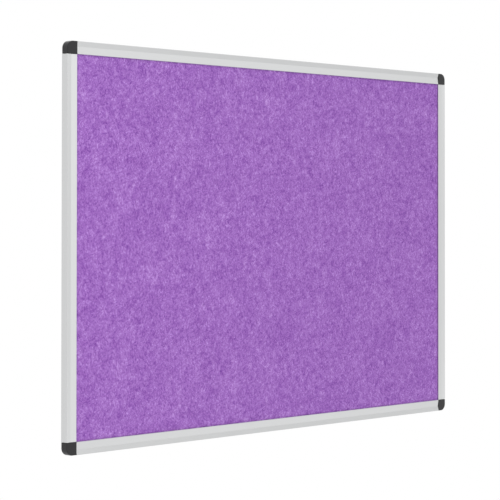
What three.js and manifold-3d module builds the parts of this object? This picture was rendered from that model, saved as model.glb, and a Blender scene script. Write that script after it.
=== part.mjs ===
// A framed felt noticeboard for a wall.
//
// A felt-faced softboard panel sits in the channels of four aluminium rails. A moulded key joins
// the rails at each corner, held by a small screw in each leg, and takes the wall screw. A cover
// closes each corner: it pegs into the key and pulls off forwards to reach the wall screw.
//
// Units are millimetres. +X is the viewer's right, +Y runs back into the wall and +Z is up.
// The origin is the middle of the board's back, on the wall.

import * as THREE from 'three';
import { mergeVertices } from 'three/addons/utils/BufferGeometryUtils.js';
import Module from 'manifold-3d';

const wasm = await Module();
wasm.setup();

// The board
const boardWidth = 900;
const boardHeight = 600;
const frameDepth = 12.5;
const faceWidth = 19;
const fitGap = 0.3;
const cutOverrun = 1;

// The rail's section: its face falls from the shoulder to a crease and rises again to the lip
const railWall = 1.2;
const outerFacet = 8;
const creaseDrop = 1.2;
const lipDrop = 0.4;
const lipEdge = 1.8;
const shoulderRadius = 0.8;
const lipRadius = 0.5;
const keyChannel = 8.4;
const rearFlange = 4.2;

// The panel's layers: the lips pinch the felt, and the softboard core fills the rest of the channel
const feltThickness = 2.2;
const feltPinch = 0.7;
const backSheetThickness = 0.8;

// The corner key
const keySlab = 6;
const keyReach = 15.5;
const keyLeg = 35;
const keyTipChamfer = 1.5;
const wallHoleInset = 8.5;
const wallHoleRadius = 2.3;
const wallSinkRadius = 4.2;
const wallHeadRoom = 5.2;

// The corner cover
const coverRadius = 11;
const coverPlate = 1.5;
const coverWall = 1.2;
const coverEdge = 0.6;
const coverSetback = 0.6;
const pegRadius = 1.4;
const pegLength = 5.5;
const pegTip = 0.4;
const pegSlot = 0.6;

// The countersunk screws that hold the key's legs in the rails
const screwRadius = 1.3;
const screwHeadRadius = 2.6;
const screwLength = 7.5;
const screwPoint = 1.2;
const screwRecess = 0.1;
const driveSpan = 2.8;
const driveWidth = 0.7;
const driveDepth = 0.9;

// Depths below the frame's front plane that several pieces share
const lipBack = lipDrop + lipEdge;
const channelFront = creaseDrop + railWall;
const channelBack = frameDepth - railWall;
const feltPinched = lipBack + fitGap;
const feltFront = feltPinched - feltPinch;
const feltBack = feltFront + feltThickness;
const coreFront = feltBack + fitGap;
const backSheetBack = channelBack - fitGap;
const backSheetFront = backSheetBack - backSheetThickness;
const coreBack = backSheetFront - fitGap;

// Distances in from the frame's outer edge that several pieces share
const webInner = railWall + keyChannel;
const channelFloor = webInner + railWall;
const panelInset = channelFloor + fitGap;
const railStart = faceWidth + fitGap;
const legOuter = Math.max(railWall, coverWall) + fitGap;
const legInner = webInner - fitGap;
const legCentre = (legOuter + legInner) / 2;
const legRoot = wallHoleInset + wallHeadRoom;
const legTip = railStart + keyLeg;
const pegAlong = (legRoot + faceWidth) / 2;
const screwAlong = railStart + keyLeg / 2;

const arcSteps = 6;
const roundSides = 28;
const quarterTurn = Math.PI / 2;

// The sides and corners in the order in which quarter turns about the Y axis reach them
const sides = ['bottom', 'left', 'top', 'right'];
const corners = ['bottom_left', 'top_left', 'top_right', 'bottom_right'];

function standardMaterial(color, roughness, metalness) {
  return new THREE.MeshStandardMaterial({ color, roughness, metalness });
}

const feltFinish = () => standardMaterial(0xa071c0, 1, 0);
const softboardFinish = () => standardMaterial(0xb59a72, 0.95, 0);
const backSheetFinish = () => standardMaterial(0x8d857a, 0.9, 0);
const railFinish = () => standardMaterial(0xd8d9da, 0.42, 0.9);
const keyFinish = () => standardMaterial(0x2b2c2e, 0.6, 0);
const coverFinish = () => standardMaterial(0x35363a, 0.55, 0);
const screwFinish = () => standardMaterial(0xb9bcc0, 0.3, 1);

// A closed geometry as a solid for cutting and joining
function solidOf(geometry) {
  geometry.deleteAttribute('normal');
  geometry.deleteAttribute('uv');
  const merged = mergeVertices(geometry);
  const corner = merged.index.array;
  const triangles = [];
  for (let i = 0; i < corner.length; i += 3) {
    const [a, b, c] = [corner[i], corner[i + 1], corner[i + 2]];
    if (a !== b && b !== c && c !== a) triangles.push(a, b, c);
  }
  return new wasm.Manifold(new wasm.Mesh({
    numProp: 3,
    vertProperties: new Float32Array(merged.attributes.position.array),
    triVerts: new Uint32Array(triangles),
  }));
}

function geometryOf(solid) {
  const mesh = solid.getMesh();
  const geometry = new THREE.BufferGeometry();
  geometry.setAttribute('position', new THREE.BufferAttribute(mesh.vertProperties, 3));
  geometry.setIndex(new THREE.BufferAttribute(mesh.triVerts, 1));
  const flat = geometry.toNonIndexed();
  flat.computeVertexNormals();
  return flat;
}

// A shape drawn in X and Z, extruded in depth from front to back
function plate(shape, front, back, bevel = {}) {
  const options = { depth: back - front, curveSegments: arcSteps, bevelEnabled: false, ...bevel };
  const axes = new THREE.Matrix4().makeBasis(
    new THREE.Vector3(1, 0, 0),
    new THREE.Vector3(0, 0, 1),
    new THREE.Vector3(0, -1, 0),
  );
  return new THREE.ExtrudeGeometry(shape, options).applyMatrix4(axes).translate(0, back, 0);
}

// A section drawn as inward distance and depth, extruded along X and centred there
function bar(shape, length) {
  const options = { depth: length, curveSegments: arcSteps, bevelEnabled: false };
  const axes = new THREE.Matrix4().makeBasis(
    new THREE.Vector3(0, 0, 1),
    new THREE.Vector3(0, 1, 0),
    new THREE.Vector3(-1, 0, 0),
  );
  return new THREE.ExtrudeGeometry(shape, options).applyMatrix4(axes).translate(length / 2, 0, 0);
}

// A round piece about a line in depth, from a profile of [radius, depth] pairs that begins and
// ends on that line
function turned(profile, x, z) {
  const points = profile.map(([radius, depth]) => new THREE.Vector2(radius, depth));
  return new THREE.LatheGeometry(points, roundSides).translate(x, 0, z);
}

function rod(radius, front, back, x, z) {
  return turned([[0, front], [radius, front], [radius, back], [0, back]], x, z);
}

function polygon(points) {
  return new THREE.Shape(points.map(([x, y]) => new THREE.Vector2(x, y)));
}

function rectangle(left, right, low, high) {
  return polygon([[left, low], [right, low], [right, high], [left, high]]);
}

// A square from near to far in both directions whose outer corner is rounded
function cornerSquare(near, far, radius) {
  const shape = new THREE.Shape();
  const centre = near + radius;
  shape.moveTo(far, near);
  shape.lineTo(far, far);
  shape.lineTo(near, far);
  shape.lineTo(near, centre);
  shape.absarc(centre, centre, radius, Math.PI, Math.PI + quarterTurn, false);
  return shape;
}

// The panel's outline in X and Z, with a square notch at each corner for the key
function panelOutline() {
  const x = boardWidth / 2 - panelInset;
  const z = boardHeight / 2 - panelInset;
  const notch = keyReach + fitGap - panelInset;
  return polygon([
    [-x + notch, -z], [x - notch, -z], [x - notch, -z + notch], [x, -z + notch],
    [x, z - notch], [x - notch, z - notch], [x - notch, z], [-x + notch, z],
    [-x + notch, z - notch], [-x, z - notch], [-x, -z + notch], [-x + notch, -z + notch],
  ]);
}

// The felt, pinched under the lips and standing up between them as one flat face for pins
function feltGeometry() {
  const x = boardWidth / 2 - railStart;
  const z = boardHeight / 2 - railStart;
  const edge = solidOf(plate(panelOutline(), feltPinched, feltBack));
  return geometryOf(edge.add(solidOf(plate(rectangle(-x, x, -z, z), feltFront, feltBack))));
}

// The rail's section as inward distance and depth, with the closed channel for the key's leg,
// whose front wall follows the outer facet
function railSection() {
  const shape = new THREE.Shape();
  shape.moveTo(0, frameDepth);
  shape.lineTo(0, shoulderRadius);
  shape.absarc(shoulderRadius, shoulderRadius, shoulderRadius, Math.PI, Math.PI + quarterTurn, false);
  shape.lineTo(outerFacet, creaseDrop);
  shape.lineTo(faceWidth - lipRadius, lipDrop);
  shape.absarc(faceWidth - lipRadius, lipDrop + lipRadius, lipRadius, -quarterTurn, 0, false);
  shape.lineTo(faceWidth, lipBack);
  shape.lineTo(channelFloor, lipBack);
  shape.lineTo(channelFloor, channelBack);
  shape.lineTo(channelFloor + rearFlange, channelBack);
  shape.lineTo(channelFloor + rearFlange, frameDepth);
  shape.closePath();
  shape.holes.push(polygon([
    [railWall, railWall + creaseDrop * railWall / outerFacet],
    [outerFacet, channelFront],
    [webInner, channelFront],
    [webInner, channelBack],
    [railWall, channelBack],
  ]));
  return shape;
}

// A rail between the two covers of its side, with a countersunk hole for each key screw
function railGeometry(sideLength) {
  let rail = solidOf(bar(railSection(), sideLength - 2 * railStart));
  const mouth = screwHeadRadius + screwRecess + fitGap;
  const throat = screwRadius + fitGap;
  for (const end of [-1, 1]) {
    const x = end * (sideLength / 2 - screwAlong);
    const sink = turned([
      [0, channelBack - cutOverrun],
      [throat, channelBack - cutOverrun],
      [throat, frameDepth + throat - mouth],
      [mouth, frameDepth],
      [mouth, frameDepth + cutOverrun],
      [0, frameDepth + cutOverrun],
    ], x, legCentre);
    rail = rail.subtract(solidOf(sink));
  }
  return geometryOf(rail);
}

// One leg of the key along X, with its tip chamfered to enter the rail's channel
function legOutline() {
  return polygon([
    [legRoot, legOuter],
    [legTip - keyTipChamfer, legOuter],
    [legTip, legOuter + keyTipChamfer],
    [legTip, legInner - keyTipChamfer],
    [legTip - keyTipChamfer, legInner],
    [legRoot, legInner],
  ]);
}

const mirrored = (shape) => polygon(shape.getPoints().map((point) => [point.y, point.x]).reverse());

// The corner key: a slab on the wall with a countersunk hole, and two legs with a peg socket each
function keyGeometry() {
  const near = coverWall + fitGap;
  const slabFront = frameDepth - keySlab;
  const legFront = channelFront + fitGap;
  const legBack = channelBack - fitGap;
  const slab = cornerSquare(near, keyReach, coverRadius - near);
  let key = solidOf(plate(slab, slabFront, frameDepth));
  const socketEnd = coverPlate + pegLength + fitGap;
  const pilotRadius = screwRadius + fitGap;
  const pilotEnd = frameDepth - screwRecess - screwLength - fitGap;
  for (const [outline, place] of [
    [legOutline(), (along) => [along, legCentre]],
    [mirrored(legOutline()), (along) => [legCentre, along]],
  ]) {
    key = key.add(solidOf(plate(outline, legFront, legBack)));
    key = key.subtract(solidOf(
      rod(pegRadius + fitGap, legFront - cutOverrun, socketEnd, ...place(pegAlong)),
    ));
    key = key.subtract(solidOf(
      rod(pilotRadius, pilotEnd, legBack + cutOverrun, ...place(screwAlong)),
    ));
  }
  const wallHole = turned([
    [0, slabFront - cutOverrun],
    [wallSinkRadius, slabFront - cutOverrun],
    [wallSinkRadius, slabFront],
    [wallHoleRadius, slabFront + wallSinkRadius - wallHoleRadius],
    [wallHoleRadius, frameDepth + cutOverrun],
    [0, frameDepth + cutOverrun],
  ], wallHoleInset, wallHoleInset);
  return geometryOf(key.subtract(solidOf(wallHole)));
}

// A split peg on the back of the cover's plate
function pegSolid(x, z) {
  const root = coverPlate - fitGap;
  const tip = coverPlate + pegLength;
  const peg = solidOf(turned([
    [0, root],
    [pegRadius, root],
    [pegRadius, tip - pegTip],
    [pegRadius - pegTip, tip],
    [0, tip],
  ], x, z));
  const reach = pegRadius + cutOverrun;
  const slot = rectangle(x - pegSlot / 2, x + pegSlot / 2, z - reach, z + reach);
  return peg.subtract(solidOf(plate(slot, tip - pegLength / 2, tip + cutOverrun)));
}

// The corner cover: a plate with a rounded corner, skirts on its two outer sides and two pegs
function coverGeometry() {
  const back = frameDepth - coverSetback;
  const outline = cornerSquare(coverEdge, faceWidth - coverEdge, coverRadius - coverEdge);
  const edge = {
    bevelEnabled: true,
    bevelThickness: coverEdge,
    bevelSize: coverEdge,
    bevelSegments: 3,
  };
  const block = solidOf(plate(outline, coverEdge, back + cutOverrun, edge));
  const trim = rectangle(-cutOverrun, faceWidth + cutOverrun, -cutOverrun, faceWidth + cutOverrun);
  const hollow = cornerSquare(coverWall, faceWidth + cutOverrun, coverRadius - coverWall);
  return geometryOf(
    block
      .subtract(solidOf(plate(trim, back, frameDepth + frameDepth)))
      .subtract(solidOf(plate(hollow, coverPlate, frameDepth + cutOverrun)))
      .add(pegSolid(pegAlong, legCentre))
      .add(pegSolid(legCentre, pegAlong)),
  );
}

// A countersunk self-tapping screw with a cross recess, its head towards the wall
function screwGeometry() {
  const head = frameDepth - screwRecess;
  const tip = head - screwLength;
  const neck = head - (screwHeadRadius - screwRadius);
  const screw = solidOf(turned([
    [0, tip],
    [screwRadius, tip + screwPoint],
    [screwRadius, neck],
    [screwHeadRadius, head],
    [0, head],
  ], 0, 0));
  const arm = driveSpan / 2;
  const half = driveWidth / 2;
  const front = head - driveDepth;
  const back = head + cutOverrun;
  return geometryOf(
    screw
      .subtract(solidOf(plate(rectangle(-arm, arm, -half, half), front, back)))
      .subtract(solidOf(plate(rectangle(-half, half, -arm, arm), front, back))),
  );
}

function piece(name, geometry, material, x = 0, z = 0) {
  const mesh = new THREE.Mesh(geometry, material);
  mesh.name = name;
  mesh.position.set(x, 0, z);
  return mesh;
}

function panelGroup() {
  const group = new THREE.Group();
  const outline = panelOutline();
  group.add(piece('felt_sheet', feltGeometry(), feltFinish()));
  group.add(piece('softboard_core', plate(outline, coreFront, coreBack), softboardFinish()));
  group.add(piece('back_sheet', plate(outline, backSheetFront, backSheetBack), backSheetFinish()));
  return group;
}

// A side turned into place, its local Z running in from the frame's outer edge
function sideGroup(turn) {
  const upright = turn % 2 === 1;
  const length = upright ? boardHeight : boardWidth;
  const across = upright ? boardWidth : boardHeight;
  const group = new THREE.Group();
  group.rotation.y = turn * quarterTurn;
  group.add(piece(`rail_${sides[turn]}`, railGeometry(length), railFinish(), 0, -across / 2));
  return group;
}

// A corner turned into place, its local X and Z running in from the frame's outer corner
function cornerGroup(turn) {
  const upright = turn % 2 === 1;
  const x = -(upright ? boardHeight : boardWidth) / 2;
  const z = -(upright ? boardWidth : boardHeight) / 2;
  const first = sides[turn];
  const second = sides[(turn + 1) % sides.length];
  const group = new THREE.Group();
  group.rotation.y = turn * quarterTurn;
  group.add(piece(`corner_key_${corners[turn]}`, keyGeometry(), keyFinish(), x, z));
  group.add(piece(`corner_cover_${corners[turn]}`, coverGeometry(), coverFinish(), x, z));
  group.add(piece(
    `${first}_rail_screw_${second}`, screwGeometry(), screwFinish(), x + screwAlong, z + legCentre,
  ));
  group.add(piece(
    `${second}_rail_screw_${first}`, screwGeometry(), screwFinish(), x + legCentre, z + screwAlong,
  ));
  return group;
}

const board = new THREE.Group();
board.position.y = -frameDepth;
board.add(panelGroup());
for (let turn = 0; turn < sides.length; turn += 1) {
  board.add(sideGroup(turn));
  board.add(cornerGroup(turn));
}

const noticeboard = new THREE.Group();
noticeboard.add(board);

export default noticeboard;
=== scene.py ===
import math

import bmesh
import bpy
import numpy as np
from mathutils import Matrix, Vector
from mathutils.geometry import tessellate_polygon


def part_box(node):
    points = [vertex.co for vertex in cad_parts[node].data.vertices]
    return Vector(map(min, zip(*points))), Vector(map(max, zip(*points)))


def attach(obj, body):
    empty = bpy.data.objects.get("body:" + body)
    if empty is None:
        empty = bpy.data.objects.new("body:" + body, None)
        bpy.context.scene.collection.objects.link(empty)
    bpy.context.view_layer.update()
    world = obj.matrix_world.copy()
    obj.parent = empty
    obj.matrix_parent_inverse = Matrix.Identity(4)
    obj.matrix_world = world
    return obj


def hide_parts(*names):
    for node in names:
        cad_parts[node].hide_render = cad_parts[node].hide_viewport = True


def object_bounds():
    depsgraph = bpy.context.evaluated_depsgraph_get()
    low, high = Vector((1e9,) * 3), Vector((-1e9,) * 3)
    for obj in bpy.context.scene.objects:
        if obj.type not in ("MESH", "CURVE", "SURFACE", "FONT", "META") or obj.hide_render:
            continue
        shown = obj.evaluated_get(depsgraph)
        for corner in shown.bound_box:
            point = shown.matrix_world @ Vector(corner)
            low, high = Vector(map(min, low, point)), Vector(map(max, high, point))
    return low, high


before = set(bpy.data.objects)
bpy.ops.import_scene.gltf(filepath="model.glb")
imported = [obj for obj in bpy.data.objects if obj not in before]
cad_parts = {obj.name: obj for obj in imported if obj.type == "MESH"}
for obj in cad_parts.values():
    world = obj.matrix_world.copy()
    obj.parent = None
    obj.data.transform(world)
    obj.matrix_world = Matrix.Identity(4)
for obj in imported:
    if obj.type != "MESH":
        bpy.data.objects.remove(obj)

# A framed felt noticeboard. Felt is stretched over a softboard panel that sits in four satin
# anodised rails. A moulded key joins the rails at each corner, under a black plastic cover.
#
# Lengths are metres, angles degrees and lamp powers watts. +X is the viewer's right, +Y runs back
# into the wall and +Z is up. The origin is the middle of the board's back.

bpy.context.scene.view_settings.view_transform = "Standard"
cad_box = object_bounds()

# The board, from the frame
WIDTH, DEPTH, HEIGHT = cad_box[1] - cad_box[0]
RAIL_LOW, RAIL_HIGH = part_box("rail_bottom")
PANEL_LOW, PANEL_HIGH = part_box("softboard_core")
FELT_LOW, FELT_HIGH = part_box("felt_sheet")
FACE = RAIL_HIGH.z - RAIL_LOW.z
RAIL_END = (WIDTH - (RAIL_HIGH.x - RAIL_LOW.x)) / 2
PANEL_INSET = WIDTH / 2 - PANEL_HIGH.x

# The rail's section: its face falls from the shoulder to a crease and rises again to the lip
RAIL_WALL = 0.0012
OUTER_FACET = 0.008
CREASE_DROP = 0.0012
LIP_DROP = 0.0004
LIP_EDGE = 0.0018
KEY_CHANNEL = 0.0084
REAR_FLANGE = 0.0042
WEB_INNER = RAIL_WALL + KEY_CHANNEL
CHANNEL_FLOOR = WEB_INNER + RAIL_WALL
SHOULDER_RADIUS = 0.0008
CREASE_RADIUS = 0.0012
LIP_RADIUS = 0.0005
REAR_RADIUS = 0.0003
INNER_RADIUS = 0.0002
SAW_CHAMFER = 0.00012
SECTION_ARC_STEPS = 8
RAIL_SHARP_ANGLE = 32

# The countersunk holes for the key screws, in the back of each rail
SCREW_ALONG = 0.0368
SCREW_ACROSS = 0.0054
SINK_RADIUS = 0.003
THROAT_RADIUS = 0.0016

# The corner cover. Its plate falls back by the crown towards its edge, and the points along its
# straight sides lie at shares of a side.
COVER_RADIUS = 0.011
COVER_PLATE = 0.0015
COVER_WALL = 0.0012
COVER_EDGE = 0.001
COVER_FILLET = 0.0004
COVER_SETBACK = 0.0006
COVER_CROWN = 0.00012
COVER_BREAK = 0.00015
COVER_BREAK_ANGLE = 50
COVER_SHARP_ANGLE = 35
COVER_SIDE_SHARES = (0.0, 0.12, 0.55, 1.0)
COVER_ARC_STEPS = 24
COVER_SPOKE_STEPS = 8
COVER_EDGE_STEPS = 6
COVER_SKIRT_STEPS = 4
PEG_ALONG = 0.01635
PEG_ACROSS = 0.0054
PEG_RADIUS = 0.0014
PEG_LENGTH = 0.0055
PEG_TIP = 0.0004
PEG_SLOT = 0.0006

# The corner keys and screws, whose CAD meshes are kept and get rounder edges
KEY_REACH = 0.0155
KEY_BREAK = 0.0003
SCREW_BREAK = 0.00008
KEPT_BREAK_ANGLE = 40
KEPT_FLAT_ANGLE = 1

# The felt: pinched under the lips, it swells out again beside them
FIT_GAP = 0.0003
FELT_PINCH_DEPTH = LIP_DROP + LIP_EDGE + FIT_GAP
FELT_RISE = 0.0032
FELT_SWELL = 0.00014
FELT_SWELL_AT = 0.009
FELT_SWELL_REACH = 0.007
FELT_GRID = 0.0027
FELT_LINES_BESIDE_LIP = (0.0, 0.0004, 0.0009, 0.0015, 0.0022, 0.003, 0.0042)
FELT_LINE_UNDER_LIP = 0.0008
FELT_NOTCH = KEY_REACH + FIT_GAP
FELT_SHARP_ANGLE = 60
WAVE_RELIEF = 0.00012
WAVE_REACH = 0.022
WAVE_SEED = 11
NAP_RELIEF = 0.00005
NAP_REACH = 0.0022
NAP_SEED = 12

# Fibres, as rows of their heading, how many go to a metre across and along them, and a shift
LIGHT_FIBRES = ((84, 760, 60, 3.1), (31, 700, 55, 7.7), (128, 730, 60, 1.9))
DARK_FIBRES = ((101, 640, 50, 5.3), (56, 600, 48, 9.2), (160, 620, 50, 4.4))
FUZZ_FIBRES = ((12, 1700, 90, 2.3), (67, 1600, 85, 6.1), (143, 1650, 90, 8.6))
PAPER_FIBRES = ((5, 900, 140, 2.2), (64, 820, 120, 6.4), (118, 860, 130, 3.7))
FIBRE_CURL = 0.008
FELT_FIBRE_WIDTH = 0.07
FUZZ_WIDTH = 0.1
PAPER_FIBRE_WIDTH = 0.05

# The middle of a noise and of a blend of two tones, and the felt's own, slightly darker
MIDDLE = 0.5
FELT_MIDDLE = 0.46

# The camera, set to the photograph's view
CAMERA_AIM = Vector((-0.0562, -0.0063, 0.0938))
CAMERA_DISTANCE = 3.0346
CAMERA_YAW = 47.135
CAMERA_PITCH = 0.8735
CAMERA_ROLL = 0.0474
CAMERA_LENS = 136.894
CAMERA_SHIFT_UP = -0.12786

# The floor, which turns into the backdrop's white between near and far, and the world
FLOOR_DROP = 1.0
FLOOR_REACH = 40.0
FLOOR_NEAR = 1.2
FLOOR_FAR = 4.5
FLOOR_WHITE_SHARE = 0.75
FLOOR_GREY = 0.9
WORLD_STRENGTH = 0.78

# The lamps: yaw, pitch, distance, width, height, power and what they light. Mat alone leaves no
# white patch on the metal. Gloss alone shows the rails' facets without making the felt paler.
MAT, GLOSS = "mat", "gloss"
LAMPS = {
    "key": (240, 12, 1.1, 2.0, 2.4, 8.3, (MAT,)),
    "strip_above_right": (148, 19, 3.0, 3.0, 0.8, 2.3, (MAT, GLOSS)),
    "strip_below_right": (148, -20, 3.0, 3.0, 0.8, 2.3, (MAT, GLOSS)),
    "strip_above_left": (225, 19, 3.0, 3.0, 0.8, 2.3, (GLOSS,)),
    "strip_below_left": (225, -20, 3.0, 3.0, 0.8, 2.3, (GLOSS,)),
    "strip_above_front": (180, 22, 3.0, 1.8, 0.8, 1.5, (GLOSS,)),
    "card_near": (157, 2, 2.8, 0.6, 1.0, 0.7, (MAT, GLOSS)),
    "top": (180, 86, 3.0, 4.0, 4.0, 20, (MAT, GLOSS)),
    "back_fill": (30, 30, 3.5, 2.4, 2.4, 8, (MAT, GLOSS)),
}

# Mesh work: how near points are merged when a mesh is built and when a modifier joins it, the
# sides of what is round and the steps across a broken edge
SEAM_GAP = 1e-7
JOIN_GAP = 1e-6
ROUND_SIDES = 40
BREAK_SEGMENTS = 2

# The quarter turns about the Y axis, in the order in which they reach the sides and the corners
SIDES = ("bottom", "left", "top", "right")
CORNERS = ("bottom_left", "top_left", "top_right", "bottom_right")


# Places


def turned(points, turn):
    """Points turned about the Y axis by a number of quarter turns, as the frame's sides are."""
    cosine, sine = ((1, 0), (0, 1), (-1, 0), (0, -1))[turn]
    x, y, z = points.T
    return np.stack([x * cosine + z * sine, y, z * cosine - x * sine], axis=1)


def on_side(points, turn):
    """Points given as (along, depth, inward) from the middle of a side's outer front edge."""
    across = HEIGHT if turn % 2 == 0 else WIDTH
    along, depth, inward = points.T
    return turned(np.stack([along, depth - DEPTH, inward - across / 2], axis=1), turn)


def on_corner(points, turn):
    """Points given as (inward, depth, inward) from a corner's outer front point."""
    length, across = (WIDTH, HEIGHT) if turn % 2 == 0 else (HEIGHT, WIDTH)
    return turned(points - np.array([length / 2, DEPTH, across / 2]), turn)


# Mesh work


def new_piece(name, points, faces):
    """An object at the origin whose mesh has these points and faces."""
    mesh = bpy.data.meshes.new(name)
    mesh.from_pydata(np.asarray(points).tolist(), [], [list(map(int, face)) for face in faces])
    piece = bpy.data.objects.new(name, mesh)
    bpy.context.scene.collection.objects.link(piece)
    return piece


def grid_quads(rows, columns, ring=False):
    """The quads of a grid whose points are numbered row by row. A ring also joins its last column
    to its first."""
    row, column = np.meshgrid(np.arange(rows - 1), np.arange(columns - (not ring)), indexing="ij")
    beside = (column + 1) % columns
    corners = [row * columns + column, row * columns + beside]
    corners += [(row + 1) * columns + beside, (row + 1) * columns + column]
    return np.stack(corners, axis=-1).reshape(-1, 4)


def tidied(piece):
    """Merges the doubled points of seams and poles and turns every face outwards."""
    mesh = bmesh.new()
    mesh.from_mesh(piece.data)
    bmesh.ops.remove_doubles(mesh, verts=mesh.verts, dist=SEAM_GAP)
    bmesh.ops.dissolve_degenerate(mesh, edges=mesh.edges, dist=SEAM_GAP)
    bmesh.ops.recalc_face_normals(mesh, faces=mesh.faces)
    mesh.to_mesh(piece.data)
    mesh.free()
    return piece


def lathe(name, profile, x, z):
    """A round piece about a line in depth: a profile of (radius, depth) that begins and ends on
    the line, turned through a full circle."""
    radius, depth = np.asarray(profile, dtype=float).T
    angle = np.arange(ROUND_SIDES) * 2 * np.pi / ROUND_SIDES
    ring = np.stack([np.cos(angle), np.zeros(ROUND_SIDES), np.sin(angle)], axis=1)
    rise = np.array([0.0, 1.0, 0.0])
    points = radius[:, None, None] * ring[None] + depth[:, None, None] * rise
    points = points.reshape(-1, 3) + np.array([x, 0.0, z])
    return tidied(new_piece(name, points, grid_quads(len(profile), ROUND_SIDES, ring=True)))


def block(name, low, high):
    """A plain box used as a cutting tool."""
    share = np.array([[i, j, k] for i in (0, 1) for j in (0, 1) for k in (0, 1)])
    points = np.array(low) + share * (np.array(high) - np.array(low))
    faces = [(0, 1, 3, 2), (4, 6, 7, 5), (0, 4, 5, 1), (2, 3, 7, 6), (0, 2, 6, 4), (1, 5, 7, 3)]
    return tidied(new_piece(name, points, faces))


def worked(piece, operation, *tools):
    """The piece with its tools cut out of it or joined to it. The tools are used up."""
    for tool in tools:
        step = piece.modifiers.new(tool.name, "BOOLEAN")
        step.operation = operation
        step.object = tool
        step.solver = "EXACT"
    graph = bpy.context.evaluated_depsgraph_get()
    mesh = bpy.data.meshes.new_from_object(piece.evaluated_get(graph))
    piece.modifiers.clear()
    piece.data = mesh
    for tool in tools:
        bpy.data.objects.remove(tool)
    return piece


def mesh_arrays(piece):
    """The piece's points and faces, for making copies of it in other places."""
    mesh = piece.data
    points = np.empty(len(mesh.vertices) * 3)
    mesh.vertices.foreach_get("co", points)
    return points.reshape(-1, 3), [list(face.vertices) for face in mesh.polygons]


def smoothed(piece, sharp_angle):
    """Smooth shading that breaks at edges sharper than an angle, with flat faces kept flat."""
    piece.data.shade_smooth()
    piece.data.set_sharp_from_angle(angle=math.radians(sharp_angle))
    piece.modifiers.new("flat_faces", "WEIGHTED_NORMAL").keep_sharp = True
    return piece


def broken_edges(piece, width, angle):
    """Takes the keenness off every edge sharper than an angle."""
    step = piece.modifiers.new("broken_edges", "BEVEL")
    step.width = width
    step.segments = BREAK_SEGMENTS
    step.limit_method = "ANGLE"
    step.angle_limit = math.radians(angle)
    step.use_clamp_overlap = False


def joined(piece):
    """Joins the faces that meet at doubled points, by a modifier."""
    piece.modifiers.new("joined_corners", "WELD").merge_threshold = JOIN_GAP


def eased(node, width):
    """Rounds the keen edges of a CAD piece that is kept. Its triangles are joined and the flat
    ones merged first, so that the rounding follows its real edges alone."""
    joined(node)
    merged = node.modifiers.new("whole_faces", "DECIMATE")
    merged.decimate_type = "DISSOLVE"
    merged.angle_limit = math.radians(KEPT_FLAT_ANGLE)
    broken_edges(node, width, KEPT_BREAK_ANGLE)
    node.modifiers.new("flat_faces", "WEIGHTED_NORMAL").keep_sharp = True


def dress(piece, material):
    """Gives a piece one material, in place of any that it had."""
    piece.data.materials.clear()
    piece.data.materials.append(material)
    return piece


# Shader work


class Wire:
    """A node's output. Arithmetic on it adds Math nodes to the tree it belongs to."""

    def __init__(self, nodes, socket):
        self.nodes = nodes
        self.socket = socket

    def math(self, operation, *values):
        """A Math node on these values."""
        return self.nodes.node("ShaderNodeMath", {"operation": operation}, dict(enumerate(values)))

    def __add__(self, other):
        return self.math("ADD", self, other)

    def __radd__(self, other):
        return self.math("ADD", other, self)

    def __sub__(self, other):
        return self.math("SUBTRACT", self, other)

    def __rsub__(self, other):
        return self.math("SUBTRACT", other, self)

    def __mul__(self, other):
        return self.math("MULTIPLY", self, other)

    def __rmul__(self, other):
        return self.math("MULTIPLY", other, self)

    def __abs__(self):
        return self.math("ABSOLUTE", self)

    def either(self, other):
        """The larger of two values."""
        return self.math("MAXIMUM", self, other)

    def swing(self, amount):
        """A noise's rise and fall about its middle, times an amount."""
        return (self - MIDDLE) * amount


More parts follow.
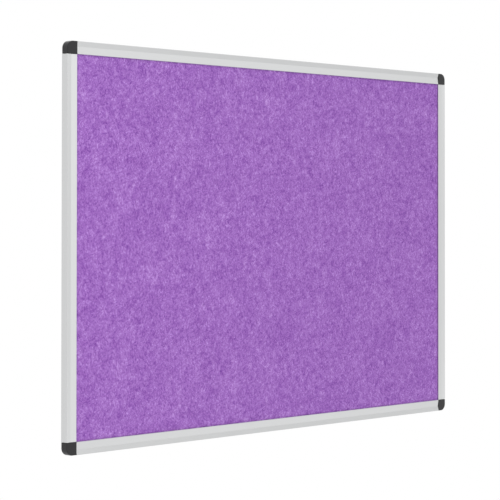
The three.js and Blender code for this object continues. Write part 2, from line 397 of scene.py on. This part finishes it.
class Nodes:
    """A node tree, emptied and built again node by node."""

    def __init__(self, owner):
        owner.use_nodes = True
        self.tree = owner.node_tree
        self.tree.nodes.clear()

    def node(self, kind, settings=None, values=None, output=0):
        """Adds a node: its settings first, then the numbers, colours or wires of its sockets."""
        made = self.tree.nodes.new(kind)
        for name, value in (settings or {}).items():
            if name == "stops":
                self.set_stops(made.color_ramp.elements, value)
            else:
                setattr(made, name, value)
        for name, value in (values or {}).items():
            if isinstance(value, Wire):
                self.tree.links.new(value.socket, made.inputs[name])
            else:
                made.inputs[name].default_value = value
        return Wire(self, made.outputs[output]) if made.outputs else None

    @staticmethod
    def set_stops(elements, stops):
        """Gives a colour ramp its stops of position and colour."""
        while len(elements) < len(stops):
            elements.new(1.0)
        for element, (position, color) in zip(elements, stops):
            element.position = position
            element.color = color

    def vector(self, operation, *values, output=0):
        """A Vector Math node."""
        settings = {"operation": operation}
        return self.node("ShaderNodeVectorMath", settings, dict(enumerate(values)), output)

    def place(self):
        """The point being shaded, in the piece's own coordinates."""
        return self.node("ShaderNodeTexCoord", output="Object")

    def mapped(self, vector, scale, turn=0.0, shift=0.0):
        """A vector turned about Y and then stretched, so that what reads it lies along the turned
        axes and is stretched the other way."""
        values = {
            "Vector": vector,
            "Rotation": (0, math.radians(turn), 0),
            "Scale": tuple(1 / share for share in scale),
            "Location": (shift, shift, 0),
        }
        return self.node("ShaderNodeMapping", {"vector_type": "TEXTURE"}, values)

    def noise(self, vector, scale=1.0, detail=2.0, roughness=0.5, output=0):
        """Soft noise from about 0 to 1, with a scale in bumps a metre."""
        values = {"Vector": vector, "Scale": scale, "Detail": detail, "Roughness": roughness}
        return self.node("ShaderNodeTexNoise", {}, values, output)

    def span(self, wire, low, high, to_low, to_high):
        """The stretch of a value from low to high, eased into another stretch and held there."""
        values = {"Value": wire, "From Min": low, "From Max": high}
        values.update({"To Min": to_low, "To Max": to_high})
        return self.node("ShaderNodeMapRange", {"interpolation_type": "SMOOTHSTEP"}, values)

    def blend(self, factor, first, second):
        """Two colours mixed by a factor."""
        settings = {"data_type": "RGBA", "clamp_factor": True}
        return self.node("ShaderNodeMix", settings, {0: factor, 6: first, 7: second}, output=2)


class Finish(Nodes):
    """A material round one Principled BSDF. Its even values are the shader's own, by their
    socket's name with its spaces as underscores."""

    def __init__(self, name, **even):
        self.material = bpy.data.materials.new(name)
        super().__init__(self.material)
        self.shader = self.tree.nodes.new("ShaderNodeBsdfPrincipled")
        self.node("ShaderNodeOutputMaterial", {}, {0: Wire(self, self.shader.outputs[0])})
        for socket, value in even.items():
            self.shader.inputs[socket.replace("_", " ")].default_value = value

    def feed(self, socket, wire):
        """Links a varying value to the shader."""
        self.tree.links.new(wire.socket, self.shader.inputs[socket])

    def bump(self, height, distance, strength):
        """Feeds the shader's normal with a relief of the given depth."""
        values = {"Height": height, "Distance": distance, "Strength": strength}
        self.feed("Normal", self.node("ShaderNodeBump", {}, values))


def rgb(red, green, blue):
    """An sRGB colour from 0 to 255 as the linear colour that a shader takes, by the sRGB curve:
    a straight foot, and above it a power of 2.4 on a shifted scale."""
    share = np.array([red, green, blue]) / 255
    linear = np.where(share <= 0.04045, share / 12.92, ((share + 0.055) / 1.055) ** 2.4)
    return (*map(float, linear), 1.0)


# Finishes


def strands(finish, place, rows, width):
    """Curling fibres: the thin contour lines of noises that are stretched along a heading each.
    The rows are as among the values above, and the width is a share of the noise's range."""
    top = None
    for turn, across, along, shift in rows:
        lie = finish.mapped(place, scale=(along, 1, across), turn=turn, shift=shift)
        ridge = abs(finish.noise(lie, detail=1.0, roughness=0.4) - MIDDLE)
        layer = finish.span(ridge, 0.0, width, 1.0, 0.0)
        top = top.either(layer) if top else layer
    return top


def felt_finish():
    """Heathered felt: lighter and darker fibres lie in all directions over a mottled ground."""
    finish = Finish(
        "felt_heather",
        Roughness=1.0,
        Specular_IOR_Level=0.1,
        Sheen_Weight=0.05,
        Sheen_Roughness=0.6,
        Sheen_Tint=rgb(214, 178, 240),
    )
    place = finish.place()
    wander = finish.noise(place, 70.0, output="Color")
    bend = finish.vector("SUBTRACT", wander, (MIDDLE,) * 3)
    curled = finish.vector("MULTIPLY_ADD", bend, (FIBRE_CURL,) * 3, place)

    cloud = finish.noise(place, 16.0, detail=3.0, roughness=0.55)
    patch = finish.noise(place, 75.0)
    tuft = finish.noise(place, 260.0, detail=4.0, roughness=0.85)
    light = strands(finish, curled, LIGHT_FIBRES, FELT_FIBRE_WIDTH)
    dark = strands(finish, curled, DARK_FIBRES, FELT_FIBRE_WIDTH)
    fuzz = strands(finish, curled, FUZZ_FIBRES, FUZZ_WIDTH)

    mottle = cloud.swing(0.2) + patch.swing(0.36) + tuft.swing(1.1)
    fibres = light * 0.28 - dark * 0.26 + fuzz * 0.1
    stops = [
        (0.00, rgb(101, 42, 142)),
        (0.40, rgb(148, 93, 184)),
        (0.60, rgb(167, 113, 201)),
        (1.00, rgb(214, 172, 240)),
    ]
    tone = {"Fac": mottle + fibres + FELT_MIDDLE}
    finish.feed("Base Color", finish.node("ShaderNodeValToRGB", {"stops": stops}, tone))
    relief = light * 0.5 + fuzz * 0.3 + tuft * 0.9 - dark * 0.3
    finish.bump(relief, distance=0.0004, strength=0.8)
    return finish.material


def rail_finish(name, dark, pale):
    """Satin anodised aluminium, with the faint lines that the die leaves along an extrusion."""
    finish = Finish(name, Metallic=1.0)
    skin = finish.node("ShaderNodeUVMap", {"uv_map": "skin"})
    line = finish.noise(finish.mapped(skin, scale=(3.0, 5200, 1)))
    band = finish.noise(finish.mapped(skin, scale=(1.2, 900, 1)))
    grain = finish.noise(finish.place(), 2600.0, detail=1.0)
    bloom = finish.noise(finish.place(), 22.0)
    shade = line.swing(0.22) + band.swing(0.15) + bloom.swing(0.16) + MIDDLE
    finish.feed("Base Color", finish.blend(shade, dark, pale))
    finish.feed("Roughness", line.swing(0.12) + bloom.swing(0.08) + 0.32)
    finish.bump(line * 0.7 + grain * 0.3, distance=0.00002, strength=0.35)
    return finish.material


def plastic_finish(name, dark, pale, roughness, grain_scale):
    """Moulded plastic with a fine spark-eroded grain and a soft sheen that wanders slightly."""
    finish = Finish(name, Specular_IOR_Level=0.36)
    grain = finish.noise(finish.place(), grain_scale, roughness=0.6)
    drift = finish.noise(finish.place(), 90.0)
    finish.feed("Base Color", finish.blend(drift * 0.6 + grain * 0.4, dark, pale))
    finish.feed("Roughness", grain.swing(0.16) + drift.swing(0.08) + roughness)
    finish.bump(grain, distance=0.00004, strength=0.5)
    return finish.material


def screw_finish():
    """Zinc-plated steel, slightly warm, with fine random scratches."""
    finish = Finish("zinc_plated_steel", Metallic=1.0)
    plating = finish.noise(finish.place(), 420.0, detail=3.0)
    scratch = finish.noise(finish.mapped(finish.place(), scale=(300, 1, 6000), turn=35))
    finish.feed("Base Color", finish.blend(plating, rgb(176, 176, 172), rgb(206, 204, 196)))
    finish.feed("Roughness", plating.swing(0.2) + scratch.swing(0.12) + 0.3)
    finish.bump(scratch, distance=0.00002, strength=0.3)
    return finish.material


def back_sheet_finish():
    """Kraft-faced board: a warm grey-brown paper with short fibres and soft rolling marks."""
    finish = Finish("kraft_backing", Roughness=0.86, Specular_IOR_Level=0.25)
    place = finish.place()
    cloud = finish.noise(place, 14.0, detail=4.0, roughness=0.6)
    pulp = finish.noise(place, 480.0, detail=3.0, roughness=0.65)
    roll = finish.noise(finish.mapped(place, scale=(4, 1, 160)))
    fibre = strands(finish, place, PAPER_FIBRES, PAPER_FIBRE_WIDTH)
    tone = cloud.swing(0.5) + pulp.swing(0.55) + roll.swing(0.2) + MIDDLE
    paper = finish.blend(tone, rgb(139, 116, 88), rgb(184, 161, 128))
    finish.feed("Base Color", finish.blend(fibre * 0.18, paper, rgb(112, 90, 64)))
    finish.bump(pulp + fibre * 0.4, distance=0.00008, strength=0.5)
    return finish.material


def softboard_finish():
    """Pale wood-fibre softboard, coarse and mat."""
    finish = Finish("wood_fibre_softboard", Roughness=0.95, Specular_IOR_Level=0.1)
    place = finish.place()
    pulp = finish.noise(place, 700.0, detail=4.0, roughness=0.7)
    layer = finish.noise(finish.mapped(place, scale=(60, 900, 60)), detail=3.0)
    tone = pulp.swing(1.1) + layer.swing(0.6) + MIDDLE
    finish.feed("Base Color", finish.blend(tone, rgb(150, 122, 84), rgb(204, 180, 140)))
    finish.bump(pulp + layer * 0.5, distance=0.0003, strength=0.8)
    return finish.material


# The felt


def blurred_noise(shape, reach, seed):
    """White noise whose Fourier transform is multiplied by a Gaussian's, so that it is blurred
    over a reach given in grid steps, scaled to a deviation of one."""
    white = np.random.default_rng(seed).standard_normal(shape)
    waves = [np.fft.fftfreq(shape[0])[:, None], np.fft.rfftfreq(shape[1])[None, :]]
    blur = np.exp(-2 * (np.pi * reach) ** 2 * (waves[0] ** 2 + waves[1] ** 2))
    field = np.fft.irfft2(np.fft.rfft2(white) * blur, shape)
    return field / field.std()


def felt_lines(half, notch_half):
    """One direction's grid lines, mirrored about the middle: even across the open felt, closer
    beside the lip, and with lines on the notch's edge and the panel's edge."""
    open_half = half - RAIL_END
    beside_lip = np.array(FELT_LINES_BESIDE_LIP)
    inner = open_half - beside_lip[-1]
    count = int(round(2 * inner / FELT_GRID))
    even = np.linspace(-inner, inner, count + 1)
    close = open_half - beside_lip[:-1]
    under_lip = np.array([open_half + FELT_LINE_UNDER_LIP, notch_half, half - PANEL_INSET])
    outer = np.concatenate([close[::-1], under_lip])
    return np.concatenate([-outer[::-1], even, outer])


def felt_depth(x, z):
    """How deep the felt's face lies behind the frame's front plane: it climbs by a smooth step
    from its pinched edge to its open face, swells slightly beside the lips, and carries a soft
    wave and a fine nap that fade out towards the edge and stay within twice the wave's relief."""
    inside = np.minimum(WIDTH / 2 - RAIL_END - abs(x), HEIGHT / 2 - RAIL_END - abs(z))
    rise = np.clip(inside / FELT_RISE, 0, 1)
    rise = rise * rise * (3 - 2 * rise)
    open_depth = FELT_LOW.y + DEPTH
    swell = FELT_SWELL * np.exp(-(((inside - FELT_SWELL_AT) / FELT_SWELL_REACH) ** 2))
    wave = WAVE_RELIEF * blurred_noise(x.shape, WAVE_REACH / FELT_GRID, WAVE_SEED)
    nap = NAP_RELIEF * blurred_noise(x.shape, NAP_REACH / FELT_GRID, NAP_SEED)
    relief = swell + np.clip(wave + nap, -2 * WAVE_RELIEF, 2 * WAVE_RELIEF)
    return FELT_PINCH_DEPTH + (open_depth - FELT_PINCH_DEPTH) * rise - relief * rise


def felt_piece():
    """The felt: a front grid in X and Z whose depth is a function of both, notched at its
    corners, with a rim drawn back from its border and a flat back."""
    notch_x = WIDTH / 2 - FELT_NOTCH
    notch_z = HEIGHT / 2 - FELT_NOTCH
    x_line = felt_lines(WIDTH / 2, notch_x)
    z_line = felt_lines(HEIGHT / 2, notch_z)
    x, z = np.meshgrid(x_line, z_line, indexing="ij")
    points = np.stack([x, felt_depth(x, z) - DEPTH, z], axis=-1).reshape(-1, 3)
    faces = grid_quads(*x.shape)
    middle = points[faces].mean(axis=1)
    notched = (abs(middle[:, 0]) > notch_x) & (abs(middle[:, 2]) > notch_z)
    felt = new_piece("felt", points, faces[~notched])

    mesh = bmesh.new()
    mesh.from_mesh(felt.data)
    bmesh.ops.delete(mesh, geom=[v for v in mesh.verts if not v.link_faces], context="VERTS")
    border = [edge for edge in mesh.edges if edge.is_boundary]
    rim = bmesh.ops.extrude_edge_only(mesh, edges=border)["geom"]
    for vertex in (part for part in rim if isinstance(part, bmesh.types.BMVert)):
        vertex.co.y = FELT_HIGH.y
    bmesh.ops.holes_fill(mesh, edges=[edge for edge in mesh.edges if edge.is_boundary], sides=0)
    bmesh.ops.recalc_face_normals(mesh, faces=mesh.faces)
    mesh.to_mesh(felt.data)
    mesh.free()
    felt.data.shade_smooth()
    felt.data.set_sharp_from_angle(angle=math.radians(FELT_SHARP_ANGLE))
    return felt


# The rails


def rounded(corners):
    """A closed outline from rows of corner position and radius. At each corner an arc touches
    both sides: its centre lies on the corner's bisector, at the radius over the sine of half the
    corner's angle, and its points swing evenly from one touching point to the other."""
    corner = np.array([row[:2] for row in corners])
    radius = np.array([row[2] for row in corners])[:, None]
    back = np.roll(corner, 1, axis=0) - corner
    on = np.roll(corner, -1, axis=0) - corner
    back /= np.linalg.norm(back, axis=1, keepdims=True)
    on /= np.linalg.norm(on, axis=1, keepdims=True)
    half = np.arccos(np.sum(back * on, axis=1, keepdims=True)) / 2
    bisector = (back + on) / np.linalg.norm(back + on, axis=1, keepdims=True)
    centre = corner + bisector * radius / np.sin(half)
    first = corner + back * radius / np.tan(half) - centre
    last = corner + on * radius / np.tan(half) - centre
    swing = (np.pi - 2 * half)[:, None]
    share = np.linspace(0, 1, SECTION_ARC_STEPS + 1)[None, :, None]
    arc = np.sin((1 - share) * swing) * first[:, None] + np.sin(share * swing) * last[:, None]
    return (centre[:, None] + arc / np.sin(swing)).reshape(-1, 2)


def rail_section():
    """The rail's skin and its closed chamber as outlines of (inward, depth)."""
    slope = CREASE_DROP / (OUTER_FACET - SHOULDER_RADIUS)
    climb = (CREASE_DROP - LIP_DROP) / (FACE - LIP_RADIUS - OUTER_FACET)
    lip_back = LIP_DROP + LIP_EDGE
    channel_back = DEPTH - RAIL_WALL
    flange = CHANNEL_FLOOR + REAR_FLANGE
    skin = rounded([
        (0.0, DEPTH, REAR_RADIUS),
        (0.0, -slope * SHOULDER_RADIUS, SHOULDER_RADIUS),
        (OUTER_FACET, CREASE_DROP, CREASE_RADIUS),
        (FACE, LIP_DROP - climb * LIP_RADIUS, LIP_RADIUS),
        (FACE, lip_back, INNER_RADIUS),
        (CHANNEL_FLOOR, lip_back, INNER_RADIUS),
        (CHANNEL_FLOOR, channel_back, INNER_RADIUS),
        (flange, channel_back, INNER_RADIUS),
        (flange, DEPTH, REAR_RADIUS),
    ])
    front = CREASE_DROP + RAIL_WALL
    chamber = rounded([
        (RAIL_WALL, RAIL_WALL + slope * RAIL_WALL, INNER_RADIUS),
        (RAIL_WALL, channel_back, INNER_RADIUS),
        (WEB_INNER, channel_back, INNER_RADIUS),
        (WEB_INNER, front, INNER_RADIUS),
        (OUTER_FACET, front, INNER_RADIUS),
    ])
    return skin, chamber


def drawn_in(loop, inset):
    """A closed outline moved inwards by an inset, along the normals at its points."""
    ahead = np.roll(loop, -1, axis=0) - np.roll(loop, 1, axis=0)
    normal = np.stack([ahead[:, 1], -ahead[:, 0]], axis=1)
    normal /= np.linalg.norm(normal, axis=1, keepdims=True)
    return loop - normal * inset


def rail_arrays(length):
    """A rail as points of (along, depth, inward), its faces, and for each corner of a face its
    place on the skin as (along the rail, around the loop). The section is carried along a
    straight line, both loops are drawn into the metal by a fine chamfer at the sawn ends, and the
    ends are closed between skin and chamber."""
    near, far = -length / 2, length / 2
    stations = np.array([near, near + SAW_CHAMFER, far - SAW_CHAMFER, far])
    insets = (SAW_CHAMFER, 0.0, 0.0, SAW_CHAMFER)
    section = rail_section()
    points, faces, skins = [], [], []
    start = 0
    for loop in section:
        across = np.linalg.norm(np.roll(loop, -1, axis=0) - loop, axis=1)
        around = np.concatenate([[0.0], np.cumsum(across)])
        rings = np.stack([drawn_in(loop, inset) for inset in insets])
        along = np.broadcast_to(stations[:, None], rings.shape[:2])
        points.append(np.stack([along, rings[..., 1], rings[..., 0]], axis=-1).reshape(-1, 3))
        quads = grid_quads(len(stations), len(loop), ring=True)
        row, column = np.divmod(quads, len(loop))
        wrapped = (column == 0) & (column.max(axis=1, keepdims=True) == len(loop) - 1)
        column = np.where(wrapped, len(loop), column)
        skins.append(np.stack([stations[row], around[column]], axis=-1).reshape(-1, 2))
        faces += (quads + start).tolist()
        start += len(stations) * len(loop)
    points = np.concatenate(points)

    skin, chamber = (len(loop) for loop in section)
    for station in (0, len(stations) - 1):
        inner = len(stations) * skin + station * chamber
        index = np.concatenate([np.arange(skin) + station * skin, np.arange(chamber) + inner])
        flat = points[index][:, [2, 1, 0]] * np.array([1, 1, 0])
        loops = [[Vector(p) for p in flat[:skin]], [Vector(p) for p in flat[skin:]]]
        ends = [index[list(face)].tolist() for face in tessellate_polygon(loops)]
        faces += ends
        skins.append(points[np.array(ends).ravel()][:, [2, 1]])
    return points, faces, np.concatenate(skins)


def screw_hole_cutters(name, turn, length):
    """The cutters for a rail's two countersunk holes, each a round profile through its back."""
    front, behind = -2 * RAIL_WALL, RAIL_WALL
    profile = [
        (0, front),
        (THROAT_RADIUS, front),
        (THROAT_RADIUS, THROAT_RADIUS - SINK_RADIUS),
        (SINK_RADIUS, 0.0),
        (SINK_RADIUS, behind),
        (0, behind),
    ]
    along = length / 2 + RAIL_END - SCREW_ALONG
    centres = np.array([[-along, 0.0, SCREW_ACROSS], [along, 0.0, SCREW_ACROSS]])
    return [lathe(f"{name}_sink", profile, x, z) for x, _, z in on_side(centres, turn)]


def rail_piece(name, turn, length):
    """A rail on its side of the frame, with the map of its skin and its screw holes."""
    points, faces, skin = rail_arrays(length)
    rail = new_piece(name, on_side(points, turn), faces)
    rail.data.uv_layers.new(name="skin").data.foreach_set("uv", skin.ravel())
    tidied(rail)
    worked(rail, "DIFFERENCE", *screw_hole_cutters(name, turn, length))
    return smoothed(rail, RAIL_SHARP_ANGLE)


# The corner covers


def cover_outline():
    """The outline of a cover and its outward normals: a straight side, a quarter circle round the
    corner and the other side, as points of (inward, inward) from the corner."""
    angle = np.radians(np.linspace(-90, -180, COVER_ARC_STEPS + 1))[:, None]
    swing = np.hstack([np.cos(angle), np.sin(angle)])
    share = np.array(COVER_SIDE_SHARES)[:, None]
    side = np.array([[FACE, 0.0]]) + share * np.array([[COVER_RADIUS - FACE, 0.0]])
    outline = np.concatenate([side[:-1], COVER_RADIUS * (1 + swing), side[::-1][1:, ::-1]])
    straight = (len(side) - 1, 1)
    normals = [np.tile([[0.0, -1.0]], straight), swing, np.tile([[-1.0, 0.0]], straight)]
    return outline, np.concatenate(normals)


def cover_rows(inset, front, fillet, crown):
    """One face of a cover as rows of (share of the spoke, distance inwards, depth): spokes from
    the inner corner over the plate, whose depth grows with the square of the share, then a
    quarter circle round the edge and the straight skirt."""
    spoke = np.linspace(0, 1, COVER_SPOKE_STEPS + 1)
    turn = np.radians(np.linspace(0, 90, COVER_EDGE_STEPS + 1))[1:]
    bend = front + crown + fillet * (1 - np.cos(turn))
    skirt = np.linspace(bend[-1], DEPTH - COVER_SETBACK, COVER_SKIRT_STEPS + 1)[1:]
    share = [spoke, np.ones(len(turn) + len(skirt))]
    inward = [np.full(len(spoke), inset + fillet), inset + fillet * (1 - np.sin(turn))]
    inward.append(np.full(len(skirt), inset))
    depth = [front + crown * spoke**2, bend, skirt]
    return np.stack([np.concatenate(column) for column in (share, inward, depth)], axis=1)


def cover_shell():
    """A cover's shell, from its corner's outer front point. Its closed profile runs over the
    plate from the inner corner, round the front edge, down the skirt and back up inside, and is
    carried along the outline. Quads close it at both ends."""
    outer = cover_rows(0.0, 0.0, COVER_EDGE, COVER_CROWN)
    inner = cover_rows(COVER_WALL, COVER_PLATE, COVER_FILLET, 0.0)
    rows = np.concatenate([outer, inner[::-1]])
    outline, normal = cover_outline()
    columns = len(outline)
    pole = np.array([FACE, FACE])
    share, inward, depth = (column[:, None, None] for column in rows.T)
    flat = pole + (outline - normal * inward - pole) * share
    depth = np.broadcast_to(depth[..., 0], flat.shape[:2])
    points = np.stack([flat[..., 0], depth, flat[..., 1]], axis=-1).reshape(-1, 3)
    faces = grid_quads(len(rows), columns).tolist()
    last = len(rows) - 1
    for column in (0, columns - 1):
        for row in range(len(outer) - 1):
            ends = (row, row + 1, last - row - 1, last - row)
            faces.append([end * columns + column for end in ends])
    return tidied(new_piece("cover_shell", points, faces))


def peg(x, z):
    """A split peg on the back of the cover's plate: a round profile with a slot cut across it."""
    root = COVER_PLATE - COVER_FILLET
    tip = COVER_PLATE + PEG_LENGTH
    profile = [
        (0, root),
        (PEG_RADIUS, root),
        (PEG_RADIUS, tip - PEG_TIP),
        (PEG_RADIUS - PEG_TIP, tip),
        (0, tip),
    ]
    low = (x - PEG_SLOT / 2, tip - PEG_LENGTH / 2, z - 2 * PEG_RADIUS)
    high = (x + PEG_SLOT / 2, tip + PEG_LENGTH / 2, z + 2 * PEG_RADIUS)
    return worked(lathe("peg", profile, x, z), "DIFFERENCE", block("slot", low, high))


def cover_arrays():
    """One corner cover with its two pegs, as points and faces for copies in all four corners."""
    pegs = [peg(PEG_ALONG, PEG_ACROSS), peg(PEG_ACROSS, PEG_ALONG)]
    shell = worked(cover_shell(), "UNION", *pegs)
    arrays = mesh_arrays(shell)
    bpy.data.objects.remove(shell)
    return arrays


def cover_piece(name, turn, arrays):
    """A corner cover turned into its corner, its keen edges broken."""
    points, faces = arrays
    cover = tidied(new_piece(name, on_corner(points, turn), faces))
    broken_edges(cover, COVER_BREAK, COVER_BREAK_ANGLE)
    joined(cover)
    return smoothed(cover, COVER_SHARP_ANGLE)


# The studio


def heading(yaw, pitch):
    """The direction of a line that is turned from +Y towards +X by yaw and raised by pitch."""
    yaw, pitch = math.radians(yaw), math.radians(pitch)
    level = math.cos(pitch)
    return Vector((math.sin(yaw) * level, math.cos(yaw) * level, math.sin(pitch)))


def add_camera():
    """The camera, aimed at a point near the board's middle from the photograph's angle."""
    data = bpy.data.cameras.new("camera")
    data.lens = CAMERA_LENS
    data.shift_y = CAMERA_SHIFT_UP
    camera = bpy.data.objects.new("camera", data)
    bpy.context.scene.collection.objects.link(camera)
    look = heading(CAMERA_YAW, CAMERA_PITCH)
    level = look.to_track_quat("-Z", "Y").to_matrix().to_4x4()
    roll = Matrix.Rotation(math.radians(CAMERA_ROLL), 4, "Z")
    place = Matrix.Translation(CAMERA_AIM - look * CAMERA_DISTANCE)
    camera.matrix_world = place @ level @ roll
    bpy.context.scene.camera = camera


def add_lamp(name, yaw, pitch, distance, wide, tall, power, lights):
    """A soft rectangular lamp that faces the board from a direction seen from its middle."""
    data = bpy.data.lights.new(name, "AREA")
    data.shape = "RECTANGLE"
    data.size = wide
    data.size_y = tall
    data.energy = power
    lamp = bpy.data.objects.new(name, data)
    bpy.context.scene.collection.objects.link(lamp)
    away = heading(yaw, pitch)
    lamp.visible_diffuse = MAT in lights
    lamp.visible_glossy = GLOSS in lights
    lamp.location = away * distance
    lamp.rotation_mode = "QUATERNION"
    lamp.rotation_quaternion = (-away).to_track_quat("-Z", "Y")


def looks(nodes):
    """One where the camera, a gloss or a clear surface looks, and zero where only light does."""
    path = nodes.node("ShaderNodeLightPath", output="Is Camera Ray")
    outputs = path.socket.node.outputs
    gloss = Wire(nodes, outputs["Is Glossy Ray"])
    clear = Wire(nodes, outputs["Is Transmission Ray"])
    return path.either(gloss).either(clear)


def add_world():
    """A world that lights softly and shows as white."""
    world = bpy.data.worlds.new("studio")
    bpy.context.scene.world = world
    nodes = Nodes(world)
    even = {"Color": (1.0, 1.0, 1.0, 1.0)}
    soft = nodes.node("ShaderNodeBackground", {}, {**even, "Strength": WORLD_STRENGTH})
    white = nodes.node("ShaderNodeBackground", {}, {**even, "Strength": 1.0})
    mixed = nodes.node("ShaderNodeMixShader", {}, {0: looks(nodes), 1: soft, 2: white})
    nodes.node("ShaderNodeOutputWorld", {}, {0: mixed})


def add_floor():
    """A pale floor well below the board. It keeps the board's shadow near the middle and shows
    as the white of the backdrop further out."""
    reach = np.array([[-1.0, -1.0], [1.0, -1.0], [1.0, 1.0], [-1.0, 1.0]]) * FLOOR_REACH
    level = np.full((4, 1), -HEIGHT / 2 - FLOOR_DROP)
    floor = new_piece("floor", np.hstack([reach, level]), [(0, 1, 2, 3)])
    material = bpy.data.materials.new("pale_floor")
    nodes = Nodes(material)
    distance = nodes.vector("LENGTH", nodes.place(), output="Value")
    share = nodes.span(distance, FLOOR_NEAR, FLOOR_FAR, FLOOR_WHITE_SHARE, 1.0)
    lit = nodes.node("ShaderNodeBsdfDiffuse", {}, {"Color": (*(FLOOR_GREY,) * 3, 1.0)})
    white = nodes.node("ShaderNodeEmission", {}, {"Strength": 1.0})
    mixed = nodes.node("ShaderNodeMixShader", {}, {0: looks(nodes) * share, 1: lit, 2: white})
    nodes.node("ShaderNodeOutputMaterial", {}, {0: mixed})
    dress(floor, material)


add_camera()
add_world()
add_floor()
for name, values in LAMPS.items():
    add_lamp(name, *values)

felt = dress(felt_piece(), felt_finish())
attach(felt, "board")
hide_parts("felt_sheet")

# All four rails are one metal. The level rails are painted darker and the upright rails lighter, a
# painted shade and painted highlight for how the light falls on each orientation.
lit_and_shaded_anodised = (
    rail_finish("satin_anodised_level_painted_shade", dark=rgb(194, 195, 196), pale=rgb(212, 213, 213)),
    rail_finish("satin_anodised_upright_painted_light", dark=rgb(201, 202, 203), pale=rgb(219, 220, 220)),
)
for turn, side in enumerate(SIDES):
    length = (WIDTH, HEIGHT)[turn % 2] - 2 * RAIL_END
    rail = dress(rail_piece(f"{side}_rail", turn, length), lit_and_shaded_anodised[turn % 2])
    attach(rail, "board")
    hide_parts(f"rail_{side}")

cover_plastic = plastic_finish(
    "satin_black_plastic",
    dark=rgb(20, 20, 22),
    pale=rgb(34, 34, 36),
    roughness=0.36,
    grain_scale=1500.0,
)
cover_shape = cover_arrays()
for turn, corner in enumerate(CORNERS):
    cover = dress(cover_piece(f"cover_shell_{corner}", turn, cover_shape), cover_plastic)
    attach(cover, f"cover_{corner}")
    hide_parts(f"corner_cover_{corner}")

key_plastic = plastic_finish(
    "black_nylon",
    dark=rgb(28, 29, 31),
    pale=rgb(44, 45, 47),
    roughness=0.55,
    grain_scale=900.0,
)
screw_steel = screw_finish()
kept_finishes = {"back_sheet": back_sheet_finish(), "softboard_core": softboard_finish()}
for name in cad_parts:
    if name.startswith("corner_key"):
        kept_finishes[name] = key_plastic
    elif "_screw_" in name:
        kept_finishes[name] = screw_steel
for name, material in kept_finishes.items():
    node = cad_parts[name]
    node.material_slots[0].material = material
    if material == key_plastic:
        eased(node, KEY_BREAK)
    elif material == screw_steel:
        eased(node, SCREW_BREAK)
